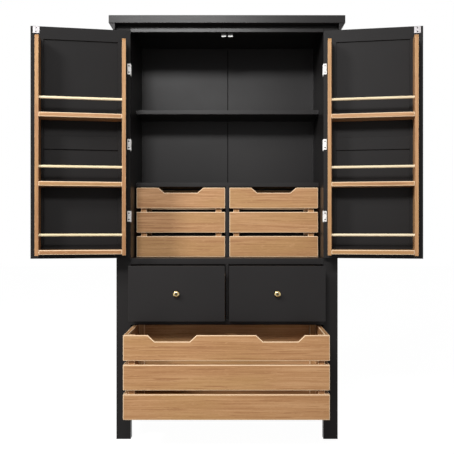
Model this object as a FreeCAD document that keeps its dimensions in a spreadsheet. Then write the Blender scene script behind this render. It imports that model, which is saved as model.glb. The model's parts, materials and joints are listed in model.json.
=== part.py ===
import FreeCAD, Part
import Sketcher
import math
import os
import re

# A painted larder cabinet: a tall cupboard with two doors that carry oak racks, two oak crates on its
# floor, two drawers under them and a wide oak crate on telescopic runners at the bottom. It stands on
# four posts. X runs to the right seen from the front, Y runs to the back and Z runs up. The origin is
# on the floor, in the middle of the box round the cabinet as it stands here: doors open, drawers and
# the wide crate drawn out.

# Driving sizes: lengths in millimetres, one angle in degrees and one share
SIZES = {
    # carcass
    "body_width": 996,
    "body_depth": 400,
    "post_width": 64,
    "front_post_depth": 40,
    "back_post_depth": 60,
    "rail_thickness": 22,
    "liner_thickness": 12,
    "back_thickness": 12,
    "board_thickness": 18,
    "side_rail_width": 60,
    "side_rail_thickness": 20,
    "side_rail_recess": 3,
    "side_panel_thickness": 12,
    "side_panel_recess": 7,
    # heights of the rails and of the openings between them, from the floor up
    "floor_clearance": 100,
    "bottom_rail_height": 58,
    "wide_opening_height": 356,
    "lower_rail_height": 24,
    "drawer_opening_height": 248,
    "middle_rail_height": 28,
    "door_opening_height": 1018,
    "top_rail_height": 28,
    # cornice
    "top_thickness": 35,
    "top_front_overhang": 45,
    "top_side_overhang": 27.5,
    "top_edge_radius": 2,
    "moulding_door_gap": 3.5,
    "moulding_foot_width": 9,
    # inside the cupboard
    "shelf_thickness": 20,
    "shelf_setback": 165,
    "shelf_side_clearance": 0.5,
    "lower_shelf_height": 331,
    "upper_shelf_height": 675,
    "shelf_pin_radius": 2.5,
    "shelf_pin_reach": 9,
    "shelf_pin_depth": 8,
    "shelf_pin_inset": 40,
    "crate_divider_thickness": 16,
    "drawer_divider_thickness": 14,
    # doors
    "door_thickness": 22,
    "door_member_width": 55,
    "door_top_gap": 2.5,
    "door_bottom_gap": 2,
    "door_centre_gap": 1,
    "middle_member_height": 479,
    "middle_member_width": 56,
    "door_panel_thickness": 8,
    "door_open_angle": 170,
    # hinges
    "hinge_height": 47,
    "lower_hinge_height": 186,
    "middle_hinge_height": 506,
    "upper_hinge_drop": 171.5,
    "pin_radius": 2,
    "pin_clearance": 0.05,
    "pin_inset": 1,
    "pin_head_radius": 3.2,
    "pin_head_height": 2,
    "knuckle_radius": 4,
    "knuckle_standoff": 1,
    "knuckle_gap": 0.4,
    "leaf_thickness": 1.5,
    "leaf_clearance": 0.4,
    "leaf_wrap": 13,
    "frame_leaf_depth": 22,
    "screw_radius": 1.9,
    "screw_head_radius": 3.4,
    "screw_length": 15,
    "screw_hole_clearance": 0.05,
    "screw_spacing": 28,
    # door racks
    "rack_depth": 100,
    "rack_side_thickness": 15.5,
    "rack_hinge_inset": 22,
    "rack_free_inset": 28,
    "rack_bottom_height": 16,
    "rack_strike_gap": 28,
    "rack_corner_radius": 20,
    "rack_shelf_thickness": 19.5,
    "low_bin_height": 40,
    "middle_bin_height": 332,
    "high_bin_height": 625,
    "dowel_radius": 6,
    "dowel_rise": 64,
    "dowel_front_inset": 14,
    "dowel_socket_depth": 8,
    "dowel_clearance": 0.05,
    # knobs
    "knob_radius": 14.25,
    "knob_head_thickness": 13,
    "knob_projection": 26,
    "knob_neck_radius": 5.5,
    "knob_foot_radius": 8,
    "knob_foot_height": 3,
    # catches
    "strike_width": 28,
    "strike_height": 29,
    "strike_thickness": 1.5,
    "strike_side_inset": 10,
    "strike_top_inset": 1.5,
    "catch_width": 22,
    "catch_centre_gap": 4,
    "catch_depth": 20,
    "catch_drop": 15,
    "catch_lap": 17,
    "catch_clearance": 0.7,
    # drawers
    "drawer_gap": 2,
    "drawer_front_thickness": 20,
    "drawer_side_thickness": 12,
    "drawer_side_drop": 47.7,
    "drawer_rear_gap": 13,
    "drawer_bottom_thickness": 6,
    "drawer_bottom_rise": 8,
    "drawer_pull_out": 86,
    "slide_clearance": 0.3,
    # crates
    "slat_thickness": 18,
    "batten_width": 28,
    "batten_thickness": 16,
    "crate_bottom_thickness": 9,
    "small_crate_outer_gap": 8,
    "small_crate_inner_gap": 2,
    "small_crate_setback": 130,
    "small_crate_rear_gap": 6,
    "small_crate_top_gap": 5.7,
    "small_slat_gap": 17,
    "small_notch_width": 211,
    "small_notch_depth": 24,
    "small_notch_slope": 28,
    "wide_crate_rise": 6,
    "wide_crate_rear_gap": 16,
    "wide_crate_top_gap": 3,
    "wide_slat_gap": 16,
    "wide_notch_width": 200,
    "wide_notch_depth": 26,
    "wide_notch_slope": 28,
    "wide_notch_spacing": 444,
    "wide_pull_out": 285,
    # telescopic runners of the wide crate
    "runner_space": 10.5,
    "runner_height": 45,
    "runner_wall": 1.5,
    "runner_clearance": 0.3,
    "runner_lip_gap": 1,
    "runner_end_inset": 55,
    "runner_rear_gap": 13,
    # how much of the crate's travel the middle members make
    "runner_middle_share": 0.5,
}

# Sizes and places worked out from the driving ones. The front is the plane of the posts' front faces.
WORKED = {
    "front": "(wide_pull_out - body_depth) / 2",
    "back": "front + body_depth",
    "inner_back": "back - back_thickness",
    "body_half": "body_width / 2",
    "opening_half": "body_half - post_width",
    "liner_outside": "opening_half + liner_thickness",
    "behind_rails": "front + rail_thickness",
    "bottom_rail_top": "floor_clearance + bottom_rail_height",
    "lower_rail_bottom": "bottom_rail_top + wide_opening_height",
    "lower_rail_top": "lower_rail_bottom + lower_rail_height",
    "middle_rail_bottom": "lower_rail_top + drawer_opening_height",
    "middle_rail_top": "middle_rail_bottom + middle_rail_height",
    "top_rail_bottom": "middle_rail_top + door_opening_height",
    "carcass_top": "top_rail_bottom + top_rail_height",
    "shelf_front": "front + shelf_setback",
    "lower_shelf_bottom": "middle_rail_top + lower_shelf_height",
    "upper_shelf_bottom": "middle_rail_top + upper_shelf_height",
    # a door's own frame: X from the hinge pin to the free edge, Y from the pin into the cupboard
    "pin_offset": "knuckle_radius + knuckle_standoff",
    "door_outside": "pin_offset",
    "door_inside": "door_outside + door_thickness",
    "door_edge": "2 * leaf_thickness + leaf_clearance - pin_inset",
    "door_end": "opening_half - pin_inset - door_centre_gap",
    "door_bottom": "middle_rail_top + door_bottom_gap",
    "door_top": "top_rail_bottom - door_top_gap",
    "moulding_foot": "door_top + moulding_door_gap",
    "strike_top": "door_top - strike_top_inset",
    "strike_foot": "strike_top - strike_height",
    "lower_hinge_place": "door_bottom + lower_hinge_height",
    "middle_hinge_place": "door_bottom + middle_hinge_height",
    "upper_hinge_place": "door_top - upper_hinge_drop",
    "middle_member_bottom": "door_bottom + middle_member_height",
    "middle_member_top": "middle_member_bottom + middle_member_width",
    "inner_edge": "door_edge + door_member_width",
    "inner_end": "door_end - door_member_width",
    "rack_front": "door_inside + rack_depth",
    "rack_hinge_side": "door_edge + rack_hinge_inset",
    "rack_free_side": "door_end - rack_free_inset",
    "rack_left": "rack_hinge_side + rack_side_thickness",
    "rack_right": "rack_free_side - rack_side_thickness",
    "rack_bottom": "door_bottom + rack_bottom_height",
    "rack_top": "strike_foot - rack_strike_gap",
    "dowel_line": "rack_front - dowel_front_inset",
    "frame_leaf_face": "leaf_thickness - pin_inset",
    "door_leaf_face": "door_edge - leaf_thickness",
    "wrap_end": "door_edge + leaf_wrap",
    "wrap_face": "door_inside + leaf_thickness",
    # drawers and crates
    "drawer_outside": "opening_half - drawer_gap",
    "drawer_inside": "drawer_divider_thickness / 2 + drawer_gap",
    "drawer_face": "front - drawer_pull_out",
    "drawer_rear": "inner_back - drawer_rear_gap - drawer_pull_out",
    "drawer_foot": "lower_rail_top + slide_clearance",
    "drawer_side_top": "middle_rail_bottom - drawer_side_drop",
    "drawer_bottom_foot": "drawer_foot + drawer_bottom_rise",
    "drawer_front_bottom": "lower_rail_top + drawer_gap",
    "drawer_front_top": "middle_rail_bottom - drawer_gap",
    "small_outside": "opening_half - small_crate_outer_gap",
    "small_inside": "crate_divider_thickness / 2 + small_crate_inner_gap",
    "small_middle": "(small_outside + small_inside) / 2",
    "small_face": "front + small_crate_setback",
    "small_rear": "inner_back - small_crate_rear_gap",
    "small_foot": "middle_rail_top + slide_clearance",
    "small_top": "lower_shelf_bottom - small_crate_top_gap",
    "wide_half": "opening_half - runner_space",
    "wide_face": "front - wide_pull_out",
    "wide_rear": "inner_back - wide_crate_rear_gap - wide_pull_out",
    "wide_foot": "bottom_rail_top + wide_crate_rise",
    "wide_top": "lower_rail_bottom - wide_crate_top_gap",
    "runner_middle_height": "(wide_foot + wide_top) / 2",
    "runner_length": "inner_back - front - runner_end_inset - runner_rear_gap",
    "runner_step": "runner_wall + runner_clearance",
    "inner_member_height": "runner_height - 2 * runner_step",
    "crate_member_height": "inner_member_height - 2 * runner_step",
}

# Two places nearer than this many millimetres are the same place
SAME_PLACE = 1e-4

doc = FreeCAD.newDocument("larder_cabinet")
nodes = []


def write_sheet():
    """The sheet that holds the driving sizes, each under its own alias."""
    sheet = doc.addObject("Spreadsheet::Sheet", "Sizes")
    for row, (alias, value) in enumerate(SIZES.items(), 1):
        sheet.set(f"A{row}", alias)
        sheet.set(f"B{row}", str(value))
        sheet.setAlias(f"B{row}", alias)
    doc.recompute()


def worked(text):
    """An expression in the sheet's aliases, from one that may also use the worked-out names."""

    def written_out(match):
        word = match.group(0)
        if word in WORKED:
            return "(" + worked(WORKED[word]) + ")"
        if word in SIZES:
            return "Sizes." + word
        raise KeyError(word)

    return re.sub(r"[a-z_]+", written_out, text)


def bind(thing, **expressions):
    """Ties a thing's properties to the sheet."""
    for name, text in expressions.items():
        thing.setExpression(name, worked(text))


def move(thing, x="0", y="0", z="0"):
    """Ties a thing's place to the sheet."""
    for letter, text in (("x", x), ("y", y), ("z", z)):
        thing.setExpression(f"Placement.Base.{letter}", worked(text))
    return thing


def turn(thing, axis, angle):
    """Turns a thing about its own origin by a fixed angle in degrees."""
    thing.Placement = FreeCAD.Placement(FreeCAD.Vector(), FreeCAD.Rotation(FreeCAD.Vector(*axis), angle))
    return thing


def board(name, x, y, z):
    """A square-edged board from the lower to the upper of two places along each axis."""
    box = doc.addObject("Part::Box", name)
    bind(box, Length=f"({x[1]}) - ({x[0]})", Width=f"({y[1]}) - ({y[0]})", Height=f"({z[1]}) - ({z[0]})")
    return move(box, x[0], y[0], z[0])


def rod(name, radius, length):
    """A round rod standing on the origin along Z."""
    cylinder = doc.addObject("Part::Cylinder", name)
    bind(cylinder, Radius=radius, Height=length)
    return cylinder


def prism(name, plane, points, low, high):
    """A body with the outline of these points, padded along its third axis from low to high."""
    role, axis, backwards = {
        "XY": ("XY_Plane", "z", False),
        "XZ": ("XZ_Plane", "y", True),
        "YZ": ("YZ_Plane", "x", False),
    }[plane]
    body = doc.addObject("PartDesign::Body", name)
    sketch = body.newObject("Sketcher::SketchObject", name + "_outline")
    origin_plane = next(feature for feature in body.Origin.OriginFeatures if feature.Role == role)
    sketch.AttachmentSupport = [(origin_plane, "")]
    sketch.MapMode = "FlatFace"
    # the outline starts as a regular polygon, and the constraints carry its corners to their places
    count = len(points)
    steps = [math.tau * i / count for i in range(count)]
    start = [FreeCAD.Vector(math.cos(step), math.sin(step)) for step in steps]
    for i in range(count):
        sketch.addGeometry(Part.LineSegment(start[i], start[(i + 1) % count]), False)
    for i in range(count):
        sketch.addConstraint(Sketcher.Constraint("Coincident", i, 2, (i + 1) % count, 1))
    for i, (across, up) in enumerate(points):
        for kind, text, value in (("DistanceX", across, start[i].x), ("DistanceY", up, start[i].y)):
            index = sketch.addConstraint(Sketcher.Constraint(kind, -1, 1, i, 1, value))
            sketch.setExpression(f"Constraints[{index}]", worked(text))
    pad = body.newObject("PartDesign::Pad", name + "_pad")
    pad.Profile = sketch
    pad.Reversed = backwards
    bind(pad, Length=f"({high}) - ({low})")
    move(body, **{axis: low})
    return body


def rounded(body, radius, chosen):
    """Rounds the edges of a body whose middles are chosen, given the body's own box."""
    doc.recompute()
    base = body.Tip
    edges = [
        f"Edge{number}"
        for number, edge in enumerate(base.Shape.Edges, 1)
        if chosen(edge.CenterOfMass, base.Shape.BoundBox)
    ]
    fillet = body.newObject("PartDesign::Fillet", body.Name + "_round")
    fillet.Base = (base, edges)
    bind(fillet, Radius=radius)
    return body


def same(one, other):
    """Whether two places along an axis are one, apart from rounding."""
    return math.isclose(one, other, abs_tol=SAME_PLACE)


def joined(name, pieces):
    """Shapes made into one solid."""
    fuse = doc.addObject("Part::MultiFuse", name)
    fuse.Shapes = pieces
    return fuse


def together(name, pieces):
    """Shapes kept apart under one name."""
    compound = doc.addObject("Part::Compound", name)
    compound.Links = pieces
    return compound


def without(name, base, tool):
    """A shape with another cut out of it."""
    cut = doc.addObject("Part::Cut", name)
    cut.Base = base
    cut.Tool = tool
    return cut


def mirrored(name, source):
    """The right-hand twin of a left-hand shape."""
    mirror = doc.addObject("Part::Mirroring", name)
    mirror.Source = source
    mirror.Base = (0, 0, 0)
    mirror.Normal = (1, 0, 0)
    return mirror


def node(label, thing):
    """Puts a finished sub-part on the list of what is written."""
    thing.Label = label
    nodes.append(thing)
    return thing


def node_pair(label, left):
    """One sub-part of a left-hand piece and its right-hand twin."""
    return node(label, together(label + "_pair", [left, mirrored(label + "_twin", left)]))


def left_and_right(name, left):
    """A left-hand sub-part and its right-hand twin, as two sub-parts."""
    node("left_" + name, left)
    node("right_" + name, mirrored("right_" + name + "_twin", left))


# Carcass


def front_posts(screw_holes):
    post = board(
        "front_post",
        ("-body_half", "-opening_half"),
        ("front", "front + front_post_depth"),
        ("0", "carcass_top"),
    )
    node_pair("front_posts", without("drilled_front_post", post, screw_holes))


def back_posts():
    post = board(
        "back_post",
        ("-body_half", "-liner_outside"),
        ("back - back_post_depth", "back"),
        ("0", "carcass_top"),
    )
    node_pair("back_posts", post)


def side_rails():
    outside = "-body_half + side_rail_recess"
    across = (outside, outside + " + side_rail_thickness")
    along = ("front + front_post_depth", "back - back_post_depth")
    low = board("low_side_rail", across, along, ("floor_clearance", "floor_clearance + side_rail_width"))
    high = board("high_side_rail", across, along, ("carcass_top - side_rail_width", "carcass_top"))
    node_pair("side_rails", together("left_side_rails", [low, high]))


def side_panels():
    outside = "-body_half + side_panel_recess"
    panel = board(
        "side_panel",
        (outside, outside + " + side_panel_thickness"),
        ("front + front_post_depth", "back - back_post_depth"),
        ("floor_clearance + side_rail_width", "carcass_top - side_rail_width"),
    )
    node_pair("side_panels", panel)


def side_liners(pin_holes):
    liner = board(
        "side_liner",
        ("-liner_outside", "-opening_half"),
        ("front + front_post_depth", "inner_back"),
        ("floor_clearance", "carcass_top"),
    )
    node_pair("side_liners", without("drilled_side_liner", liner, pin_holes))


def front_rails():
    heights = {
        "bottom_rail": ("floor_clearance", "bottom_rail_top"),
        "lower_rail": ("lower_rail_bottom", "lower_rail_top"),
        "middle_rail": ("middle_rail_bottom", "middle_rail_top"),
        "top_rail": ("top_rail_bottom", "carcass_top"),
    }
    for label, height in heights.items():
        node(label, board(label, ("-opening_half", "opening_half"), ("front", "behind_rails"), height))


def back_panels():
    panel = board(
        "back_panel",
        ("-liner_outside", "0"),
        ("inner_back", "back"),
        ("floor_clearance", "carcass_top"),
    )
    node_pair("back_panels", panel)


def floor_boards():
    """The boards behind the three rails that have an opening above them, level with the rails' tops."""
    boards = [
        board(
            "board_behind_" + rail,
            ("-opening_half", "opening_half"),
            ("behind_rails", "inner_back"),
            (rail + "_top - board_thickness", rail + "_top"),
        )
        for rail in ("bottom_rail", "lower_rail", "middle_rail")
    ]
    node("floor_boards", together("three_floor_boards", boards))


def dividers():
    crate_half = "crate_divider_thickness / 2"
    drawer_half = "drawer_divider_thickness / 2"
    crate_divider = board(
        "crate_divider",
        ("-" + crate_half, crate_half),
        ("small_face", "inner_back"),
        ("middle_rail_top", "lower_shelf_bottom"),
    )
    drawer_divider = board(
        "drawer_divider",
        ("-" + drawer_half, drawer_half),
        ("front", "inner_back"),
        ("lower_rail_top", "middle_rail_bottom"),
    )
    node("crate_divider", crate_divider)
    node("drawer_divider", drawer_divider)


def shelves():
    loose_half = "opening_half - shelf_side_clearance"
    along = ("shelf_front", "inner_back")
    lower = board(
        "lower_shelf",
        ("-opening_half", "opening_half"),
        along,
        ("lower_shelf_bottom", "lower_shelf_bottom + shelf_thickness"),
    )
    upper = board(
        "upper_shelf",
        ("-(" + loose_half + ")", loose_half),
        along,
        ("upper_shelf_bottom", "upper_shelf_bottom + shelf_thickness"),
    )
    node("lower_shelf", lower)
    node("upper_shelf", upper)


def left_shelf_pins(name, radius):
    """The two pins in the left liner that the upper shelf lies on, or with more radius their holes."""
    places = {"front": "shelf_front + shelf_pin_inset", "back": "inner_back - shelf_pin_inset"}
    height = "upper_shelf_bottom - shelf_pin_radius"
    pins = []
    for place, along in places.items():
        pin = turn(rod(f"{name}_{place}", radius, "shelf_pin_depth + shelf_pin_reach"), (0, 1, 0), 90)
        pins.append(move(pin, "-opening_half - shelf_pin_depth", along, height))
    return together(name, pins)


def cornice():
    top = prism(
        "top_slab",
        "XY",
        [
            ("-body_half - top_side_overhang", "front - top_front_overhang"),
            ("body_half + top_side_overhang", "front - top_front_overhang"),
            ("body_half + top_side_overhang", "back"),
            ("-body_half - top_side_overhang", "back"),
        ],
        "carcass_top",
        "carcass_top + top_thickness",
    )
    node("top_board", rounded(top, "top_edge_radius", lambda middle, box: not same(middle.y, box.YMax)))
    moulding = prism(
        "side_moulding",
        "XZ",
        [
            ("-body_half", "carcass_top"),
            ("-body_half - top_side_overhang + top_edge_radius", "carcass_top"),
            ("-body_half - moulding_foot_width", "moulding_foot"),
            ("-body_half", "moulding_foot"),
        ],
        "front - top_front_overhang + top_edge_radius",
        "back",
    )
    node_pair("cornice_mouldings", moulding)


def door_catches():
    """Magnet blocks under the top rail, each with a flange on the rail's back face."""
    block_face = "front + door_thickness + strike_thickness + catch_clearance"
    block = prism(
        "catch_block",
        "YZ",
        [
            ("behind_rails", "top_rail_bottom"),
            (block_face, "top_rail_bottom"),
            (block_face, "top_rail_bottom - catch_drop"),
            (block_face + " + catch_depth", "top_rail_bottom - catch_drop"),
            (block_face + " + catch_depth", "top_rail_bottom + catch_lap"),
            ("behind_rails", "top_rail_bottom + catch_lap"),
        ],
        "-catch_centre_gap - catch_width",
        "-catch_centre_gap",
    )
    node_pair("door_catches", block)


# Hinges, in the left door's own frame

HINGES = ("lower_hinge", "middle_hinge", "upper_hinge")


def hinge_foot(hinge):
    return f"{hinge}_place - hinge_height / 2"


def hinge_screws(name, hinge, face, x, y, turned, hole=False):
    """The two countersunk screws of a leaf, with their heads up to a face, or the holes for them."""
    clearance = " + screw_hole_clearance" if hole else ""
    axis, angle = turned
    screws = []
    for place, side in (("low", "-"), ("high", "+")):
        shank = rod(f"{name}_{place}_shank", "screw_radius" + clearance, "screw_length")
        head = doc.addObject("Part::Cone", f"{name}_{place}_head")
        bind(head, Radius1="screw_radius" + clearance, Radius2="screw_head_radius", Height="leaf_thickness")
        height = f"{hinge}_place {side} screw_spacing / 2"
        if face == "x":
            move(turn(shank, axis, angle), f"{x} - screw_length", y, height)
        else:
            move(turn(shank, axis, angle), x, f"{y} - screw_length", height)
        move(turn(head, axis, angle), x, y, height)
        screws.append(joined(f"{name}_{place}", [shank, head]))
    return screws


def door_screws(name, hinge, hole=False):
    middle = "door_edge + leaf_wrap / 2"
    return hinge_screws(f"{name}_{hinge}", hinge, "y", middle, "door_inside", ((1, 0, 0), -90), hole)


def frame_screws(name, hinge, hole=False):
    depth = "door_outside + frame_leaf_depth / 2"
    return hinge_screws(f"{name}_{hinge}", hinge, "x", "-pin_inset", depth, ((0, 1, 0), 90), hole)


def all_screws(name, kind, hole=False):
    return together(name, [screw for hinge in HINGES for screw in kind(name, hinge, hole)])


def knuckle(name, hinge, low_share, high_share, tab):
    """One barrel of a hinge, between two shares of its height, with the tab that joins it to its leaf."""
    low = f"{hinge_foot(hinge)} + {low_share} * hinge_height / 3 + knuckle_gap / 2"
    high = f"{hinge_foot(hinge)} + {high_share} * hinge_height / 3 - knuckle_gap / 2"
    barrel = rod(name + "_barrel", "knuckle_radius", f"({high}) - ({low})")
    move(barrel, "0", "0", low)
    lug = board(name + "_lug", tab, ("pin_radius", "door_outside"), (low, high))
    return [barrel, lug]


def leaf(name, hinge, plate, thirds, tab, screw_holes):
    """A leaf with its barrels, bored for the pin and countersunk for its screws."""
    pieces = [plate]
    for low_share in thirds:
        pieces += knuckle(f"{name}_{hinge}_{low_share}", hinge, low_share, low_share + 1, tab)
    whole = joined(f"{name}_{hinge}_blank", pieces)
    bore = rod(f"{name}_{hinge}_bore", "pin_radius + pin_clearance", "hinge_height")
    move(bore, "0", "0", hinge_foot(hinge))
    holes = together(f"{name}_{hinge}_holes", [bore, *screw_holes])
    return without(f"{name}_{hinge}", whole, holes)


def door_leaf(hinge):
    """The leaf on the door's edge, turned over onto its inner face, with the middle barrel."""
    foot = hinge_foot(hinge)
    plate = prism(
        f"door_plate_{hinge}",
        "XY",
        [
            ("door_leaf_face", "door_outside"),
            ("door_edge", "door_outside"),
            ("door_edge", "door_inside"),
            ("wrap_end", "door_inside"),
            ("wrap_end", "wrap_face"),
            ("door_leaf_face", "wrap_face"),
        ],
        foot,
        foot + " + hinge_height",
    )
    tab = ("door_leaf_face", "door_edge")
    return leaf("door_leaf", hinge, plate, (1,), tab, door_screws("door_leaf_sink", hinge))


def frame_leaf(hinge):
    """The leaf on the post's inner face, with the two outer barrels."""
    foot = hinge_foot(hinge)
    plate = board(
        f"frame_plate_{hinge}",
        ("-pin_inset", "frame_leaf_face"),
        ("door_outside", "door_outside + frame_leaf_depth"),
        (foot, foot + " + hinge_height"),
    )
    tab = ("-pin_inset", "frame_leaf_face")
    return leaf("frame_leaf", hinge, plate, (0, 2), tab, frame_screws("frame_leaf_sink", hinge))


def hinge_pin(hinge):
    foot = hinge_foot(hinge)
    shaft = move(rod(f"pin_shaft_{hinge}", "pin_radius", "hinge_height"), "0", "0", foot)
    low = rod(f"pin_low_head_{hinge}", "pin_head_radius", "pin_head_height")
    high = rod(f"pin_high_head_{hinge}", "pin_head_radius", "pin_head_height")
    move(low, "0", "0", foot + " - pin_head_height")
    move(high, "0", "0", foot + " + hinge_height")
    return joined(f"hinge_pin_{hinge}", [shaft, low, high])


def on_left_pins(thing):
    """Moves a piece from the left door's own frame to its place with the door shut."""
    return move(thing, "-opening_half + pin_inset", "front - pin_offset")


def on_left_door(thing):
    """Moves a piece from the left door's own frame to the door as it stands open."""
    # the upright axis comes from this small turn, and its angle from the sheet
    turn(thing, (0, 0, 1), -1)
    thing.setExpression("Placement.Rotation.Angle", worked("-door_open_angle"))
    return on_left_pins(thing)


def frame_hinges():
    leaves = together("left_frame_leaves", [frame_leaf(hinge) for hinge in HINGES])
    pins = together("left_hinge_pins", [hinge_pin(hinge) for hinge in HINGES])
    node_pair("hinge_frame_leaves", on_left_pins(leaves))
    node_pair("hinge_pins", on_left_pins(pins))
    node_pair("hinge_frame_screws", on_left_pins(all_screws("left_frame_screw", frame_screws)))


# Doors and their racks


def door_stiles():
    hinge_stile = prism(
        "hinge_stile",
        "XZ",
        [
            ("door_edge", "door_bottom"),
            ("door_edge", "door_top"),
            ("inner_edge", "door_top - door_member_width"),
            ("inner_edge", "door_bottom + door_member_width"),
        ],
        "door_outside",
        "door_inside",
    )
    free_stile = prism(
        "free_stile",
        "XZ",
        [
            ("door_end", "door_bottom"),
            ("door_end", "door_top"),
            ("inner_end", "door_top - door_member_width"),
            ("inner_end", "door_bottom + door_member_width"),
        ],
        "door_outside",
        "door_inside",
    )
    screw_holes = all_screws("door_screw_hole", door_screws, hole=True)
    drilled = without("drilled_hinge_stile", hinge_stile, screw_holes)
    left_and_right("door_stiles", on_left_door(together("left_stiles", [drilled, free_stile])))


def door_rails():
    mitred = []
    for name, edge, inner in (
        ("top", "door_top", "door_top - door_member_width"),
        ("bottom", "door_bottom", "door_bottom + door_member_width"),
    ):
        outline = [("door_edge", edge), ("door_end", edge), ("inner_end", inner), ("inner_edge", inner)]
        mitred.append(prism(f"door_{name}_rail", "XZ", outline, "door_outside", "door_inside"))
    middle = board(
        "door_middle_rail",
        ("inner_edge", "inner_end"),
        ("door_outside", "door_inside"),
        ("middle_member_bottom", "middle_member_top"),
    )
    left_and_right("door_rails", on_left_door(together("left_rails", [*mitred, middle])))


def door_panels():
    across = ("inner_edge", "inner_end")
    face = "door_outside + (door_thickness - door_panel_thickness) / 2"
    along = (face, face + " + door_panel_thickness")
    low = board("low_panel", across, along, ("door_bottom + door_member_width", "middle_member_bottom"))
    high = board("high_panel", across, along, ("middle_member_top", "door_top - door_member_width"))
    left_and_right("door_panels", on_left_door(together("left_panels", [low, high])))


def bin_floor(level):
    return f"door_bottom + {level}_bin_height"


BINS = ("low", "middle", "high")


def rack_dowels(name, clearance):
    """The rack's dowels, each with its ends in the side boards, or with clearance their sockets."""
    length = "rack_right - rack_left + 2 * dowel_socket_depth"
    dowels = []
    for level in BINS:
        dowel = turn(rod(f"{name}_{level}", "dowel_radius" + clearance, length), (0, 1, 0), 90)
        height = bin_floor(level) + " + dowel_rise"
        dowels.append(move(dowel, "rack_left - dowel_socket_depth", "dowel_line", height))
    return together(name, dowels)


def rack_sides():
    """The two upright boards of a rack, with their top front corners rounded."""
    outline = [
        ("door_inside", "rack_bottom"),
        ("rack_front", "rack_bottom"),
        ("rack_front", "rack_top"),
        ("door_inside", "rack_top"),
    ]
    spans = {"hinge": ("rack_hinge_side", "rack_left"), "free": ("rack_right", "rack_free_side")}
    boards = []
    for side, (low, high) in spans.items():
        upright = prism(f"rack_{side}_board", "YZ", outline, low, high)
        rounded(
            upright,
            "rack_corner_radius",
            lambda middle, box: same(middle.y, box.YMax) and same(middle.z, box.ZMax),
        )
        boards.append(upright)
    uprights = together("rack_uprights", boards)
    socketed = without("socketed_uprights", uprights, rack_dowels("dowel_sockets", " + dowel_clearance"))
    left_and_right("rack_sides", on_left_door(socketed))


def rack_shelves():
    shelf_list = [
        board(
            f"rack_shelf_{level}",
            ("rack_left", "rack_right"),
            ("door_inside", "rack_front"),
            (bin_floor(level) + " - rack_shelf_thickness", bin_floor(level)),
        )
        for level in BINS
    ]
    left_and_right("rack_shelves", on_left_door(together("left_rack_shelves", shelf_list)))


def strike_plates():
    plate = board(
        "strike_plate",
        ("door_end - strike_side_inset - strike_width", "door_end - strike_side_inset"),
        ("door_inside", "door_inside + strike_thickness"),
        ("strike_foot", "strike_top"),
    )
    left_and_right("strike_plate", on_left_door(together("left_strike", [plate])))


def knob(name):
    """A turned knob standing on the origin along Z: a foot, a neck and a domed head."""
    foot = rod(name + "_foot", "knob_foot_radius", "knob_foot_height")
    neck = rod(name + "_neck", "knob_neck_radius", "knob_projection - knob_head_thickness / 2")
    head = doc.addObject("Part::Ellipsoid", name + "_head")
    bind(head, Radius1="knob_head_thickness / 2", Radius2="knob_radius", Radius3="knob_radius")
    move(head, "0", "0", "knob_projection - knob_head_thickness / 2")
    return joined(name, [foot, neck, head])


def door_knobs():
    """The knob on the outer face of the free stile, level with the middle rail."""
    piece = turn(knob("door_knob"), (1, 0, 0), 90)
    height = "(middle_member_bottom + middle_member_top) / 2"
    move(piece, "door_end - door_member_width / 2", "door_outside", height)
    left_and_right("door_knob", on_left_door(together("left_door_handle", [piece])))


def doors():
    door_stiles()
    door_rails()
    door_panels()
    rack_sides()
    rack_shelves()
    left_and_right("rack_dowels", on_left_door(rack_dowels("left_rack_rods", "")))
    leaves = together("left_door_leaves", [door_leaf(hinge) for hinge in HINGES])
    left_and_right("hinge_door_leaves", on_left_door(leaves))
    left_and_right("hinge_door_screws", on_left_door(all_screws("left_door_screw", door_screws)))
    strike_plates()
    door_knobs()


# Drawers


def drawers():
    sides = {
        "outer": ("-drawer_outside", "-drawer_outside + drawer_side_thickness"),
        "inner": ("-drawer_inside - drawer_side_thickness", "-drawer_inside"),
    }
    between = (sides["outer"][1], sides["inner"][0])
    front_back = "drawer_face + drawer_front_thickness"
    boards = [
        board(f"drawer_{side}_side", across, (front_back, "drawer_rear"), ("drawer_foot", "drawer_side_top"))
        for side, across in sides.items()
    ]
    boards.append(
        board(
            "drawer_back",
            between,
            ("drawer_rear - drawer_side_thickness", "drawer_rear"),
            ("drawer_foot", "drawer_side_top"),
        )
    )
    boards.append(
        board(
            "drawer_bottom",
            between,
            (front_back, "drawer_rear - drawer_side_thickness"),
            ("drawer_bottom_foot", "drawer_bottom_foot + drawer_bottom_thickness"),
        )
    )
    face = board(
        "drawer_front",
        ("-drawer_outside", "-drawer_inside"),
        ("drawer_face", front_back),
        ("drawer_front_bottom", "drawer_front_top"),
    )
    handle = turn(knob("drawer_knob"), (1, 0, 0), 90)
    middle = "(drawer_front_bottom + drawer_front_top) / 2"
    move(handle, "-(drawer_outside + drawer_inside) / 2", "drawer_face", middle)
    left_and_right("drawer_front", face)
    left_and_right("drawer_box", together("left_drawer_boards", boards))
    left_and_right("drawer_knob", handle)


# Crates

SLAT_ROWS = 3


def notched_slat(name, x, notches, size, low, high, y):
    """A front slat with finger notches in its top edge, each narrower at its floor than at its mouth."""
    outline = [(x[0], low), (x[1], low), (x[1], high)]
    for middle in reversed(notches):
        mouth = f"{size}_notch_width / 2"
        floor = f"{mouth} - {size}_notch_slope"
        bed = f"{high} - {size}_notch_depth"
        outline += [
            (f"{middle} + {mouth}", high),
            (f"{middle} + {floor}", bed),
            (f"{middle} - ({floor})", bed),
            (f"{middle} - {mouth}", high),
        ]
    outline.append((x[0], high))
    return prism(name, "XZ", outline, *y)


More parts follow.
